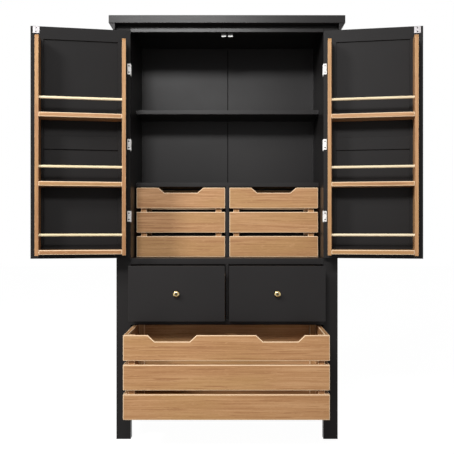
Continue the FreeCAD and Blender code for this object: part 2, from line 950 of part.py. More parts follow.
def crate(size, x, notches):
    """A slatted crate: three slats to each wall, a batten in each corner and a bottom board."""
    name = size + "_crate"
    face, rear = size + "_face", size + "_rear"
    foot, top = size + "_foot", size + "_top"
    pitch = f"({top} - {foot} + {size}_slat_gap) / {SLAT_ROWS}"
    feet = [f"{foot} + {row} * {pitch}" for row in range(SLAT_ROWS)]
    rows = [(slat_foot, f"{slat_foot} + {pitch} - {size}_slat_gap") for slat_foot in feet]
    front_wall = (face, face + " + slat_thickness")
    rear_wall = (rear + " - slat_thickness", rear)
    left_wall = (x[0], x[0] + " + slat_thickness")
    right_wall = (x[1] + " - slat_thickness", x[1])
    inside_x = (left_wall[1], right_wall[0])
    inside_y = (front_wall[1], rear_wall[0])
    floor = f"{foot} + crate_bottom_thickness"
    front_slats = [board(f"{name}_front_{row}", x, front_wall, rows[row]) for row in range(SLAT_ROWS - 1)]
    front_slats.append(notched_slat(f"{name}_front_top", x, notches, size, *rows[-1], front_wall))
    wall_slats = [board(f"{name}_bottom", inside_x, inside_y, (foot, floor))]
    for row, height in enumerate(rows):
        wall_slats.append(board(f"{name}_rear_{row}", x, rear_wall, height))
        wall_slats.append(board(f"{name}_left_{row}", left_wall, inside_y, height))
        wall_slats.append(board(f"{name}_right_{row}", right_wall, inside_y, height))
    battens = [
        board(f"{name}_batten_{side}_{end}", across, along, (floor, top))
        for side, across in (
            ("left", (inside_x[0], inside_x[0] + " + batten_width")),
            ("right", (inside_x[1] + " - batten_width", inside_x[1])),
        )
        for end, along in (
            ("front", (inside_y[0], inside_y[0] + " + batten_thickness")),
            ("rear", (inside_y[1] + " - batten_thickness", inside_y[1])),
        )
    ]
    pieces = {"front_slats": front_slats, "wall_slats": wall_slats, "battens": battens}
    return {part: together(f"{name}_{part}", boards) for part, boards in pieces.items()}


def small_crates():
    across = ("-small_outside", "-small_inside")
    for part, thing in crate("small", across, ["-small_middle"]).items():
        left_and_right("crate_" + part, thing)


def wide_crate():
    across = ("-wide_half", "wide_half")
    notches = ["-wide_notch_spacing / 2", "wide_notch_spacing / 2"]
    for part, thing in crate("wide", across, notches).items():
        node("wide_crate_" + part, thing)


# Telescopic runners


def channel(name, across, hollow_across, height):
    """A C-shaped runner member along Y: its spans across, outside and in the hollow, and its height."""
    low = f"runner_middle_height - {height} / 2"
    high = f"runner_middle_height + {height} / 2"
    along = ("0", "runner_length")
    outside = board(name + "_outside", across, along, (low, high))
    hollow = board(name + "_hollow", hollow_across, along, (low + " + runner_wall", high + " - runner_wall"))
    return without(name, outside, hollow)


def runners():
    """Three nested members a side: on the cabinet, in the middle, and on the crate."""
    cabinet_web = "-opening_half"
    middle_web = cabinet_web + " + runner_step"
    crate_lips = middle_web + " + runner_step"
    middle_lips = "-wide_half - runner_lip_gap"
    cabinet_lips = middle_lips + " - runner_wall"
    cabinet = channel(
        "cabinet_member",
        (cabinet_web, cabinet_lips),
        (cabinet_web + " + runner_wall", cabinet_lips),
        "runner_height",
    )
    middle = channel(
        "middle_member",
        (middle_web, middle_lips),
        (middle_web + " + runner_wall", middle_lips),
        "inner_member_height",
    )
    # the crate's member turns its back to the crate and its lips to the cabinet
    crate_member = channel(
        "crate_member",
        (crate_lips, "-wide_half"),
        (crate_lips, "-wide_half - runner_wall"),
        "crate_member_height",
    )
    shut = "front + runner_end_inset"
    move(cabinet, y=shut)
    move(middle, y=shut + " - wide_pull_out * runner_middle_share")
    move(crate_member, y=shut + " - wide_pull_out")
    node_pair("runner_cabinet_members", cabinet)
    node_pair("runner_middle_members", middle)
    node_pair("runner_crate_members", crate_member)


def build():
    front_posts(on_left_pins(all_screws("frame_screw_hole", frame_screws, hole=True)))
    back_posts()
    side_rails()
    side_panels()
    side_liners(left_shelf_pins("shelf_pin_holes", "shelf_pin_radius + pin_clearance"))
    front_rails()
    back_panels()
    floor_boards()
    dividers()
    shelves()
    node_pair("shelf_pins", left_shelf_pins("left_shelf_pins", "shelf_pin_radius"))
    cornice()
    door_catches()
    frame_hinges()
    doors()
    drawers()
    small_crates()
    wide_crate()
    runners()


def check():
    """Stops if any object failed, any sub-part is empty or unsound, or a cut took nothing away."""
    for thing in doc.Objects:
        if "Invalid" in thing.State or "Error" in thing.State:
            raise RuntimeError(f"{thing.Label} did not compute")
        if thing.TypeId == "Part::Cut" and thing.Shape.Volume >= thing.Base.Shape.Volume:
            raise RuntimeError(f"{thing.Label} cuts nothing")
    for thing in nodes:
        if thing.Shape.isNull() or not thing.Shape.isValid() or not thing.Shape.Solids:
            raise RuntimeError(f"{thing.Label} is not a sound solid")


def write():
    os.makedirs("parts", exist_ok=True)
    for thing in nodes:
        thing.Shape.exportStep(f"parts/{thing.Label}.step")
        print(thing.Label, len(thing.Shape.Solids), "solids")
    print(len(nodes), "sub-parts,", sum(len(thing.Shape.Solids) for thing in nodes), "solids")


write_sheet()
build()
doc.recompute()
check()
write()
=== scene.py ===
"""Looks of the storage cabinet: a double larder with door racks, drawers and oak crates."""
import json
import math
import random

import bmesh
import bpy
import numpy as np
from mathutils import Matrix, Vector


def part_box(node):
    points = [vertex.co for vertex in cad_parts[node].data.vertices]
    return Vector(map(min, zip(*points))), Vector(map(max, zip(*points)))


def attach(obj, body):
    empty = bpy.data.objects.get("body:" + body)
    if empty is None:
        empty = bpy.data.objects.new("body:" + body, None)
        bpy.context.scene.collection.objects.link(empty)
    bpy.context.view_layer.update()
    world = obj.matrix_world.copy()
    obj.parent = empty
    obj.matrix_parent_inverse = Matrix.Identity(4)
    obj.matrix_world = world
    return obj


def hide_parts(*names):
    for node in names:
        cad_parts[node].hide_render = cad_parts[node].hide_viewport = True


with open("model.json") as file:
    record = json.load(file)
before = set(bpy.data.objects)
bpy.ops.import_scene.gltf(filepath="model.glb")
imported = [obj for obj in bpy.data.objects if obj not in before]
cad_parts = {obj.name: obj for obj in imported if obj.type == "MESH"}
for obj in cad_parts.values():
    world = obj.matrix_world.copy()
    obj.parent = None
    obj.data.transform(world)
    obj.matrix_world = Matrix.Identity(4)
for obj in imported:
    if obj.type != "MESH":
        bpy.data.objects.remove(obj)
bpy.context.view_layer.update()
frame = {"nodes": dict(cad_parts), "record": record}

SEED = 7
IMAGE_SIDE = 454
MM = 0.001

# The body that each node belongs to

BODIES = {
    node: body
    for body, nodes in frame["record"]["behaviour"]["bodies"].items()
    for node in nodes
}


# Node trees

def add(tree, kind, values=None, **settings):
    """Adds a shader node, with its settings and with its inputs given as values or as linked sockets."""
    made = tree.nodes.new(kind)
    for name, value in settings.items():
        setattr(made, name, value)
    for name, value in (values or {}).items():
        if isinstance(value, bpy.types.NodeSocket):
            tree.links.new(value, made.inputs[name])
        else:
            made.inputs[name].default_value = value
    return made


def noise(tree, place, stretch, detail, roughness=0.5):
    """Noise from 0 to 1 over a place in metres; stretch is how many cells go in a metre, each way."""
    scaled = add(tree, "ShaderNodeVectorMath", {0: place, 1: stretch}, operation="MULTIPLY")
    values = {
        "Vector": scaled.outputs[0],
        "Scale": 1.0,
        "Detail": detail,
        "Roughness": roughness,
    }
    return add(tree, "ShaderNodeTexNoise", values).outputs["Fac"]


def between(tree, value, low, high, to_low=0.0, to_high=1.0):
    """A value between low and high, turned into one between to_low and to_high."""
    values = {
        "Value": value,
        "From Min": low,
        "From Max": high,
        "To Min": to_low,
        "To Max": to_high,
    }
    return add(tree, "ShaderNodeMapRange", values, interpolation_type="SMOOTHSTEP").outputs["Result"]


def spread(tree, pattern, low, high):
    """Noise, nearly all of which lies between 0.3 and 0.7, spread from low to high."""
    return between(tree, pattern, 0.3, 0.7, low, high)


def calculate(tree, operation, first, second):
    """The sum, product or so of two values."""
    return add(tree, "ShaderNodeMath", {0: first, 1: second}, operation=operation).outputs[0]


def times(tree, value, share):
    """A value times a share of it, or times another value."""
    return calculate(tree, "MULTIPLY", value, share)


def total(tree, first, *others):
    """The sum of two values or more."""
    for other in others:
        first = calculate(tree, "ADD", first, other)
    return first


# The places of the colour sockets on Blender's mix node

MIX_FACTOR, MIX_FIRST, MIX_SECOND = 0, 6, 7
MIX_RESULT = 2


def mixed(tree, factor, first, second):
    """Two colours mixed by a factor."""
    values = {MIX_FACTOR: factor, MIX_FIRST: first, MIX_SECOND: second}
    return add(tree, "ShaderNodeMix", values, data_type="RGBA").outputs[MIX_RESULT]


def bumped(tree, height, distance, strength, under=None):
    """A bump of that distance in metres."""
    values = {"Height": height, "Distance": distance, "Strength": strength}
    if under is not None:
        values["Normal"] = under
    return add(tree, "ShaderNodeBump", values).outputs["Normal"]


def new_material(name):
    """A material with its tree, its shader and the place in metres on the object."""
    material = bpy.data.materials.new(name)
    material.use_nodes = True
    tree = material.node_tree
    shader = tree.nodes["Principled BSDF"]
    place = add(tree, "ShaderNodeTexCoord").outputs["Object"]
    return material, tree, shader, place


def stored(tree, name, output="Fac"):
    """A value that the mesh stores by name: grain, tone_and_shade, edge, matt_and_shade or painted_dark.
    """
    return add(tree, "ShaderNodeAttribute", attribute_name=name).outputs[output]


def set_shader(tree, shader, **values):
    """Sets inputs of the shader, whose names are written with _ for spaces."""
    for name, value in values.items():
        socket = shader.inputs[name.replace("_", " ")]
        if isinstance(value, bpy.types.NodeSocket):
            tree.links.new(value, socket)
        else:
            socket.default_value = value


# Charcoal paint

PAINT_DARK = (0.0108, 0.0098, 0.0098, 1)
PAINT_LIGHT = (0.0170, 0.0154, 0.0152, 1)
PAINT_WORN_AND_HIGHLIT = (0.030, 0.027, 0.025, 1)
# The near-black colour that front faces are darkened towards, as painted shade
PAINT_SHADE = (0.0030, 0.0027, 0.0027, 1)
PAINT_SPECULAR = 0.16
PAINT_ROUGHNESS = (0.355, 0.375)
PAINT_RELIEF = 0.02 * MM
STROKE_CELLS = (9, 420, 420)
BROAD_CELLS = (4, 4, 4)
PEEL_CELLS = (520, 520, 520)


def paint_material():
    """Satin charcoal paint, brushed on: faint strokes, a slight unevenness, a little wear with painted
    highlight on the rounded edges, and painted shade on some front faces.
    """
    material, tree, shader, place = new_material("charcoal paint")
    grain = stored(tree, "grain", "Vector")
    matt_and_shade = stored(tree, "matt_and_shade")
    strokes = noise(tree, grain, STROKE_CELLS, detail=3.0)
    broad = noise(tree, place, BROAD_CELLS, detail=2.0)
    peel = noise(tree, place, PEEL_CELLS, detail=2.0)
    unevenness = total(
        tree,
        times(tree, broad, 0.55),
        times(tree, stored(tree, "tone_and_shade"), 0.25),
        times(tree, strokes, 0.2),
    )
    colour = mixed(tree, unevenness, PAINT_DARK, PAINT_LIGHT)
    # Painted shade: front faces of the doors, posts and back boards are darkened by their stored share
    colour = mixed(tree, times(tree, matt_and_shade, 0.6), colour, PAINT_SHADE)
    # Wear and painted highlight: rounded edges are made lighter, by a share that varies from place to
    # place
    rubbed_and_highlit = times(tree, stored(tree, "edge"), between(tree, broad, 0.35, 0.75, 0.1, 0.55))
    colour = mixed(tree, rubbed_and_highlit, colour, PAINT_WORN_AND_HIGHLIT)
    roughness = total(
        tree,
        spread(tree, strokes, *PAINT_ROUGHNESS),
        spread(tree, broad, -0.01, 0.015),
        times(tree, matt_and_shade, 0.33),
    )
    relief = bumped(tree, strokes, PAINT_RELIEF, 0.3)
    relief = bumped(tree, peel, PAINT_RELIEF, 0.3, relief)
    set_shader(
        tree, shader,
        Base_Color=colour, Roughness=roughness, Normal=relief, Specular_IOR_Level=PAINT_SPECULAR
    )
    return material


# Wood: how many cells of each pattern go in a metre along the grain, across it and through it

BEND_CELLS = (1.6, 7, 7)
RING_CELLS = (1.8, 95, 95)
FINE_CELLS = (5, 520, 520)
LINE_CELLS = (5, 230, 230)
DRIFT_CELLS = (2.2, 9, 9)
CLOUD_CELLS = (3, 16, 16)
PORE_CELLS = (75, 2100, 2100)
FLECK_CELLS = (38, 300, 300)

BEND = (0.0, 12 * MM, 12 * MM)
OLIVE_SHARES = (0.98, 1.08, 0.93)
PORE_SHARE = 0.6
PORE_RELIEF = 0.12 * MM
FINE_RELIEF = 0.08 * MM
WOOD_SPECULAR = 0.3
WOOD_ROUGHNESS = (0.48, 0.6)


def wood_material(name, dark, middle, light, highlight_edge, streak=1.0, fleck=1.0):
    """Wood with growth streaks, pores and small pale flecks along the grain of each board, and paler
    rounded edges as painted highlight.
    """
    material, tree, shader, place = new_material(name)
    grain = stored(tree, "grain", "Vector")
    bend = noise(tree, grain, BEND_CELLS, detail=2.0)
    bend_vector = add(tree, "ShaderNodeCombineXYZ", {"Y": bend, "Z": bend}).outputs[0]
    values = {0: bend_vector, 1: BEND, 2: grain}
    along = add(tree, "ShaderNodeVectorMath", values, operation="MULTIPLY_ADD").outputs[0]
    rings = noise(tree, along, RING_CELLS, detail=4.0, roughness=0.62)
    fine = noise(tree, along, FINE_CELLS, detail=3.0, roughness=0.6)
    lines = noise(tree, along, LINE_CELLS, detail=2.0)
    drift = noise(tree, grain, DRIFT_CELLS, detail=1.0)
    cloud = noise(tree, grain, CLOUD_CELLS, detail=2.0)
    pores = noise(tree, along, PORE_CELLS, detail=1.0)
    flecks = noise(tree, along, FLECK_CELLS, detail=1.0)
    # The stored value is a random tone, plus painted shade on the left rack; it deepens the wood's colour
    lean = calculate(tree, "SUBTRACT", stored(tree, "tone_and_shade"), 0.5)
    depth = total(
        tree,
        between(tree, rings, 0.32, 0.70, 0.10, 0.10 + 0.55 * streak),
        between(tree, fine, 0.32, 0.70, -0.14, 0.34 * streak),
        spread(tree, cloud, -0.09, 0.09),
        times(tree, lean, 0.2),
    )
    olive = tuple(part * share for part, share in zip(middle, OLIVE_SHARES)) + (1,)
    pore_colour = tuple(part * PORE_SHARE for part in dark[:3]) + (1,)
    holes = between(tree, pores, 0.60, 0.74, 0.0, 0.45)
    colour = mixed(tree, between(tree, depth, 0.02, 0.5), light, middle)
    colour = mixed(tree, between(tree, depth, 0.45, 1.05), colour, dark)
    colour = mixed(tree, between(tree, drift, 0.42, 0.66, 0.0, 0.5), colour, olive)
    colour = mixed(tree, between(tree, lines, 0.59, 0.64, 0.0, 0.8 * streak), colour, dark)
    colour = mixed(tree, between(tree, flecks, 0.60, 0.72, 0.0, 0.6 * fleck), colour, light)
    colour = mixed(tree, holes, colour, pore_colour)
    # Painted highlight: rounded edges are made paler, as if they caught the light
    colour = mixed(tree, stored(tree, "edge"), colour, highlight_edge)
    roughness = total(tree, spread(tree, fine, *WOOD_ROUGHNESS), times(tree, holes, 0.1))
    relief = bumped(tree, calculate(tree, "SUBTRACT", 1.0, holes), PORE_RELIEF, 0.6)
    relief = bumped(tree, fine, FINE_RELIEF, 0.5, relief)
    set_shader(
        tree, shader,
        Base_Color=colour, Roughness=roughness, Normal=relief, Specular_IOR_Level=WOOD_SPECULAR
    )
    return material


# Metal and plastic

BRUSH_CELLS = (900, 900, 40)
TARNISH_CELLS = (160, 160, 160)
SCRATCH_RELIEF = 0.02 * MM
# Painted shade in the screws' cross slots, and the painted dark reflection on the knobs' heads
PAINTED_DARK_COLOUR = (0.03, 0.028, 0.026, 1)
MOULD_CELLS = (1500, 1500, 1500)
MOULD_CLOUD_CELLS = (90, 90, 90)
MOULD_RELIEF = 0.03 * MM


def metal_material(name, colour, dull, roughness):
    """Metal with fine lines from its making and a little tarnish."""
    material, tree, shader, place = new_material(name)
    lines = noise(tree, place, BRUSH_CELLS, detail=3.0)
    cloud = noise(tree, place, TARNISH_CELLS, detail=3.0)
    tint = mixed(tree, between(tree, cloud, 0.35, 0.75, 0.0, 0.8), colour, dull)
    # Painted shade and painted reflection, where the mesh stores painted_dark
    tint = mixed(tree, stored(tree, "painted_dark"), tint, PAINTED_DARK_COLOUR)
    gloss = total(
        tree,
        spread(tree, lines, roughness - 0.05, roughness + 0.05),
        between(tree, cloud, 0.35, 0.75, 0.0, 0.08),
    )
    relief = bumped(tree, lines, SCRATCH_RELIEF, 0.5)
    set_shader(tree, shader, Base_Color=tint, Roughness=gloss, Normal=relief, Metallic=1.0)
    return material


def plastic_material(name, shaded, lit):
    """Moulded plastic with a fine grain, mixed from two colours."""
    material, tree, shader, place = new_material(name)
    fine = noise(tree, place, MOULD_CELLS, detail=2.0)
    cloud = noise(tree, place, MOULD_CLOUD_CELLS, detail=2.0)
    colour = mixed(tree, cloud, shaded, lit)
    gloss = spread(tree, fine, 0.42, 0.54)
    relief = bumped(tree, fine, MOULD_RELIEF, 0.5)
    set_shader(tree, shader, Base_Color=colour, Roughness=gloss, Normal=relief)
    return material


# The materials of the frame's slots, and three that only the looks have

MATERIALS = {
    "charcoal_paint": paint_material(),
    "oak": wood_material(
        "oak",
        dark=(0.32, 0.150, 0.060, 1),
        middle=(0.440, 0.228, 0.100, 1),
        light=(0.535, 0.300, 0.145, 1),
        highlight_edge=(0.84, 0.615, 0.40, 1),
    ),
    "pale_dowel": wood_material(
        "pale dowel",
        dark=(0.60, 0.44, 0.27, 1),
        middle=(0.76, 0.61, 0.41, 1),
        light=(0.86, 0.74, 0.54, 1),
        highlight_edge=(0.88, 0.78, 0.60, 1),
        streak=0.6,
        fleck=0.4,
    ),
    "drawer_wood": wood_material(
        "drawer wood",
        dark=(0.36, 0.20, 0.095, 1),
        middle=(0.50, 0.31, 0.17, 1),
        light=(0.62, 0.43, 0.26, 1),
        highlight_edge=(0.68, 0.50, 0.32, 1),
        streak=0.8,
        fleck=0.5,
    ),
    "steel": metal_material("satin steel", (0.62, 0.61, 0.60, 1), (0.50, 0.49, 0.48, 1), 0.63),
    "runner_zinc": metal_material("zinc", (0.46, 0.47, 0.49, 1), (0.34, 0.35, 0.37, 1), 0.36),
    "brass": metal_material("satin brass", (0.62, 0.48, 0.24, 1), (0.40, 0.29, 0.12, 1), 0.16),
    # Painted shade: the catch housings are near black, as if in the shade under the top rail; the lips
    # below them are pale grey
    "catch_plastic": plastic_material("catch plastic", (0.020, 0.019, 0.018, 1), (0.028, 0.027, 0.026, 1)),
}
SCREW_STEEL = metal_material("dark screw steel", (0.014, 0.0135, 0.013, 1), (0.009, 0.0085, 0.008, 1), 0.7)
STRIKE_STEEL = metal_material("brushed strike steel", (0.34, 0.325, 0.33, 1), (0.26, 0.25, 0.25, 1), 0.56)
PALE_PLASTIC = plastic_material("pale lip", (0.62, 0.62, 0.60, 1), (0.72, 0.72, 0.69, 1))


# Pieces made from the frame's solids: how their edges are found and rounded, by slot

EDGE_ANGLE = math.radians(32)
FLAT_ANGLE = math.radians(0.6)
BEVEL_SEGMENTS = 2
BEVEL_PROFILE = 0.6
BEVELS = {
    "charcoal_paint": 1.2 * MM,
    "oak": 3.0 * MM,
    "pale_dowel": 0.7 * MM,
    "drawer_wood": 0.9 * MM,
    "steel": 0.25 * MM,
    "runner_zinc": 0.2 * MM,
    "brass": 0.3 * MM,
    "catch_plastic": 0.4 * MM,
}

# What each corner of a face stores for the materials, beside the place along the grain

LAYERS = ("tone_and_shade", "edge", "matt_and_shade", "painted_dark")
GRAIN_SHIFT = 40

# A face is at the front if its normal's forward part is more than this

FRONT_SHARE = 0.5

# How much rougher the paint is at the front of a body or a node, and how much darker, as painted shade;
# less than 0 is glossier and no darker

MATT_AND_SHADE_BY_NODE = {
    "left_door": 1.0,
    "right_door": 0.7,
    "front_posts": 0.6,
    "back_panels": 0.15,
    "top_board": -0.08,
    "top_rail": -0.20,
}

# How much darker the wood of a node is made, as painted shade on the left door's rack

SHADE_TONE_SHIFTS = {"left_rack_sides": 1.4, "left_rack_shelves": 2.2}

# Boards that meet in a joint: how wide their edges are rounded there, and how much rougher and darker, as
# painted shade in the groove, these are

JOINT_BEVELS = {"back_panels": 2.0 * MM}
JOINT_SHADE = 1.6

# The painted dark reflection in the middle of a knob's head, as shares of its radius

DARK_REFLECTION_START_SHARE = 0.30
DARK_REFLECTION_END_SHARE = 0.62
DARK_REFLECTION_DARKNESS = 0.95


def neighbours(items):
    """Each item of a closed loop with the one after it."""
    return list(zip(items, items[1:] + items[:1]))


def solids_of(mesh):
    """The closed solids of a mesh, each as its corners and its triangles, in their order."""
    found = []
    places = {}
    corners = []
    triangles = []
    open_edges = set()
    for face in mesh.polygons:
        ring = []
        for index in face.vertices:
            place = tuple(mesh.vertices[index].co)
            if place not in places:
                places[place] = len(corners)
                corners.append(place)
            ring.append(places[place])
        if len(set(ring)) == len(ring):
            triangles.append(ring)
            for first, second in neighbours(ring):
                if (second, first) in open_edges:
                    open_edges.remove((second, first))
                else:
                    open_edges.add((first, second))
        if triangles and not open_edges:
            found.append((corners, triangles))
            places, corners, triangles = {}, [], []
    if triangles:
        raise RuntimeError("a solid of the frame is open: " + mesh.name)
    return found


# Parts of a direction that count as none, and the most by which a face along a board may lean

SMALL_PART = 1e-3
LEAN_SHARE = 0.1


def long_axes(solid):
    """Three axes of a board, the first along it and the last through its thinnest side."""
    lengths = {}
    for edge in solid.edges:
        line = edge.verts[1].co - edge.verts[0].co
        if line.length > 0:
            way = line.normalized()
            first = next(part for part in way if abs(part) > SMALL_PART)
            way = way if first > 0 else -way
            key = tuple(round(part, 2) for part in way)
            lengths.setdefault(key, [0.0, way])
            lengths[key][0] = max(lengths[key][0], line.length)
    along = max(lengths.values(), key=lambda entry: entry[0])[1]
    areas = {}
    for face in solid.faces:
        if abs(face.normal.dot(along)) < LEAN_SHARE:
            key = tuple(round(abs(part), 1) for part in face.normal)
            areas.setdefault(key, [0.0, face.normal.copy()])
            areas[key][0] += face.calc_area()
    if areas:
        through = max(areas.values(), key=lambda entry: entry[0])[1]
    else:
        through = along.orthogonal().normalized()
    across = through.cross(along).normalized()
    return along, across, along.cross(across).normalized()


def softened(corners, triangles, width, chance, front_matt_and_shade=0.0, shade_tone_shift=0.0, shaded_joint_edges=False):
    """One solid with its flat faces joined, its sharp edges rounded and its layers stored."""
    solid = bmesh.new()
    made = [solid.verts.new(place) for place in corners]
    for ring in triangles:
        solid.faces.new([made[index] for index in ring])
    bmesh.ops.recalc_face_normals(solid, faces=solid.faces)
    bmesh.ops.dissolve_limit(solid, angle_limit=FLAT_ANGLE, verts=solid.verts, edges=solid.edges)
    solid.normal_update()
    axes = long_axes(solid)
    sharp = [
        edge for edge in solid.edges
        if len(edge.link_faces) == 2 and edge.is_convex and edge.calc_face_angle() > EDGE_ANGLE
    ]
    rounded = set()
    if sharp:
        result = bmesh.ops.bevel(
            solid, geom=sharp, offset=width, segments=BEVEL_SEGMENTS, profile=BEVEL_PROFILE,
            affect="EDGES", clamp_overlap=True
        )
        rounded = set(result["faces"])
    solid.normal_update()
    shift = Vector([chance.uniform(0, GRAIN_SHIFT) for _ in range(3)])
    # A random tone for the solid, plus its node's shift of painted shade
    tone_and_shade = chance.random() + shade_tone_shift
    grain_layer = solid.loops.layers.float_vector.new("grain")
    layers = [solid.loops.layers.float.new(name) for name in LAYERS]
    for face in solid.faces:
        face.smooth = True
        edge = 1.0 if face in rounded and not shaded_joint_edges else 0.0
        # Front faces store the body's or node's share of roughness and painted shade
        matt_and_shade = front_matt_and_shade if face.normal.y < -FRONT_SHARE else 0.0
        # Painted shade: rounded edges at a joint are darkened to stand for the shade in the groove, with
        # no wear
        if face in rounded and shaded_joint_edges:
            matt_and_shade = JOINT_SHADE
        for loop in face.loops:
            place = loop.vert.co
            loop[grain_layer] = Vector([place.dot(axis) for axis in axes]) + shift
            for layer, value in zip(layers, (tone_and_shade, edge, matt_and_shade, 0.0)):
                loop[layer] = value
    return solid


def round_axis(points, centre, axis):
    """How far points lie along an axis through the centre, and how far from it."""
    heights = (points - centre) @ axis
    radii = np.linalg.norm(points - centre - np.outer(heights, axis), axis=1)
    return heights, radii


def paint_dark_reflection(knob):
    """Stores how dark the painted reflection in the middle of a knob's head is, round the knob's own axis.
    """
    points = np.array([corner.co for corner in knob.verts])
    centre = points.mean(axis=0)
    sizes, ways = np.linalg.svd(points - centre)[1:]
    odd = 0 if sizes[0] - sizes[1] > sizes[1] - sizes[2] else 2
    heights, radii = round_axis(points, centre, ways[odd])
    beyond = heights - heights[radii.argmax()]
    if beyond.max() > -beyond.min():
        beyond = -beyond
    fade = (DARK_REFLECTION_END_SHARE - radii / radii.max()) / (DARK_REFLECTION_END_SHARE - DARK_REFLECTION_START_SHARE)
    darkness = np.where(beyond > 0, DARK_REFLECTION_DARKNESS * fade.clip(0.0, 1.0), 0.0).tolist()
    knob.verts.index_update()
    layer = knob.loops.layers.float["painted_dark"]
    for face in knob.faces:
        for loop in face.loops:
            loop[layer] = darkness[loop.vert.index]


def new_piece(name, shape, slot_name, body, material=None):
    """A piece from a bmesh, with its material, that rides on a body."""
    mesh = bpy.data.meshes.new(name)
    shape.to_mesh(mesh)
    shape.free()
    mesh.materials.append(material or MATERIALS[slot_name])
    piece = bpy.data.objects.new(name, mesh)
    bpy.context.scene.collection.objects.link(piece)
    weighted = piece.modifiers.new("weighted", "WEIGHTED_NORMAL")
    weighted.keep_sharp = True
    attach(piece, body)
    return piece


def joined(solids):
    """One bmesh that holds them all."""
    whole = bmesh.new()
    whole.loops.layers.float_vector.new("grain")
    for name in LAYERS:
        whole.loops.layers.float.new(name)
    passing = bpy.data.meshes.new("passing")
    for solid in solids:
        solid.to_mesh(passing)
        solid.free()
        whole.from_mesh(passing)
    bpy.data.meshes.remove(passing)
    return whole


def piece_from_node(node):
    """A piece that stands for a node, with the same solids and finer edges."""
    source = frame["nodes"][node]
    slot_name = source.data.materials[0].name.split(".")[0]
    chance = random.Random(f"{SEED} {node}")
    front_matt_and_shade = MATT_AND_SHADE_BY_NODE.get(BODIES[node], MATT_AND_SHADE_BY_NODE.get(node, 0.0))
    shade_tone_shift = SHADE_TONE_SHIFTS.get(node, 0.0)
    width = JOINT_BEVELS.get(node, BEVELS[slot_name])
    solids = [
        softened(corners, triangles, width, chance, front_matt_and_shade, shade_tone_shift, node in JOINT_BEVELS)
        for corners, triangles in solids_of(source.data)
    ]
    if slot_name == "brass":
        # Painted reflection: each knob's head gets a dark middle
        for knob in solids:
            paint_dark_reflection(knob)
    material = STRIKE_STEEL if node.endswith("_strike_plate") else None
    piece = new_piece(node + ".fine", joined(solids), slot_name, BODIES[node], material)
    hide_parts(node)


# Screws

SCREW_SEGMENTS = 32
CROSS_WIDTH_SHARE = 0.15
CROSS_LENGTH_SHARE = 0.58
CROSS_DEPTH_SHARE = 0.42
CROSS_TAPER_SHARE = 0.55
RIM = 0.25 * MM
SCREW_TIP = 2.0 * MM
SCREW_TIP_SHARE = 0.4


def ring_of(shape, centre, across, up, radius):
    """A ring of corners round a centre."""
    step = 2 * math.pi / SCREW_SEGMENTS
    return [
        shape.verts.new(centre + radius * (math.cos(step * k) * across + math.sin(step * k) * up))
        for k in range(SCREW_SEGMENTS)
    ]


def cross_outline(head_radius):
    """The corners of a cross slot, round the middle of the head."""
    wide = CROSS_WIDTH_SHARE * head_radius
    long = CROSS_LENGTH_SHARE * head_radius
    outline = []
    for quarter in range(4):
        turn = Matrix.Rotation(quarter * math.pi / 2, 2)
        outline += [turn @ Vector(corner) for corner in ((long, -wide), (long, wide), (wide, wide))]
    return outline


def cross_screw(head, axis, head_radius, shank_radius, length, turn):
    """A countersunk screw whose head's middle and outward axis are given, with a cross slot darkened as
    painted shade.
    """
    shape = bmesh.new()
    across = axis.orthogonal().normalized()
    across.rotate(Matrix.Rotation(turn, 3, axis))
    up = axis.cross(across)
    cone = head_radius - shank_radius
    profile = (
        (-length, SCREW_TIP_SHARE * shank_radius),
        (-length + SCREW_TIP, shank_radius),
        (-RIM - cone, shank_radius),
        (-RIM, head_radius),
        (0.0, head_radius - RIM),
    )
    rings = [ring_of(shape, head + axis * height, across, up, radius) for height, radius in profile]
    shape.faces.new(rings[0])
    for low, high in zip(rings, rings[1:]):
        for (low_here, low_after), (high_here, high_after) in zip(neighbours(low), neighbours(high)):
            shape.faces.new((low_here, low_after, high_after, high_here))
    offsets = [x * across + y * up for x, y in cross_outline(head_radius)]
    sunk = head - axis * CROSS_DEPTH_SHARE * head_radius
    upper = [shape.verts.new(head + offset) for offset in offsets]
    lower = [shape.verts.new(sunk + CROSS_TAPER_SHARE * offset) for offset in offsets]
    around = [shape.edges.get(pair) for pair in neighbours(rings[-1])]
    around += [shape.edges.new(pair) for pair in neighbours(upper)]
    bmesh.ops.triangle_fill(shape, use_beauty=True, edges=around)
    painted_dark = [shape.faces.new(lower)]
    for (high_here, high_after), (low_here, low_after) in zip(neighbours(upper), neighbours(lower)):
        painted_dark.append(shape.faces.new((high_here, high_after, low_after, low_here)))
    bmesh.ops.recalc_face_normals(shape, faces=shape.faces)
    shape.loops.layers.float_vector.new("grain")
    layers = {name: shape.loops.layers.float.new(name) for name in LAYERS}
    # Painted shade: the cross slot's faces are darkened
    for face in painted_dark:
        for loop in face.loops:
            loop[layers["painted_dark"]] = 1.0
    for edge in shape.edges:
        if len(edge.link_faces) == 2 and edge.calc_face_angle() > EDGE_ANGLE:
            edge.smooth = False
    for face in shape.faces:
        face.smooth = True
    return shape


def screws_from_node(node):
    """Screws in the places of a node's screws."""
    source = frame["nodes"][node]
    chance = random.Random(f"{SEED} {node}")
    screws = []
    for corners, _ in solids_of(source.data):
        points = np.array(corners)
        middle = points.mean(axis=0)
        axis = np.linalg.svd(points - middle)[2][0]
        heights, radii = round_axis(points, middle, axis)
        if radii[heights.argmin()] > radii[heights.argmax()]:
            axis, heights = -axis, -heights
        screws.append(cross_screw(
            Vector(middle + axis * heights.max()),
            Vector(axis),
            float(radii.max()),
            float(radii.min()),
            float(heights.max() - heights.min()),
            chance.uniform(0, math.pi / 2),
        ))
    piece = new_piece(node + ".fine", joined(screws), "steel", BODIES[node], SCREW_STEEL)
    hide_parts(node)


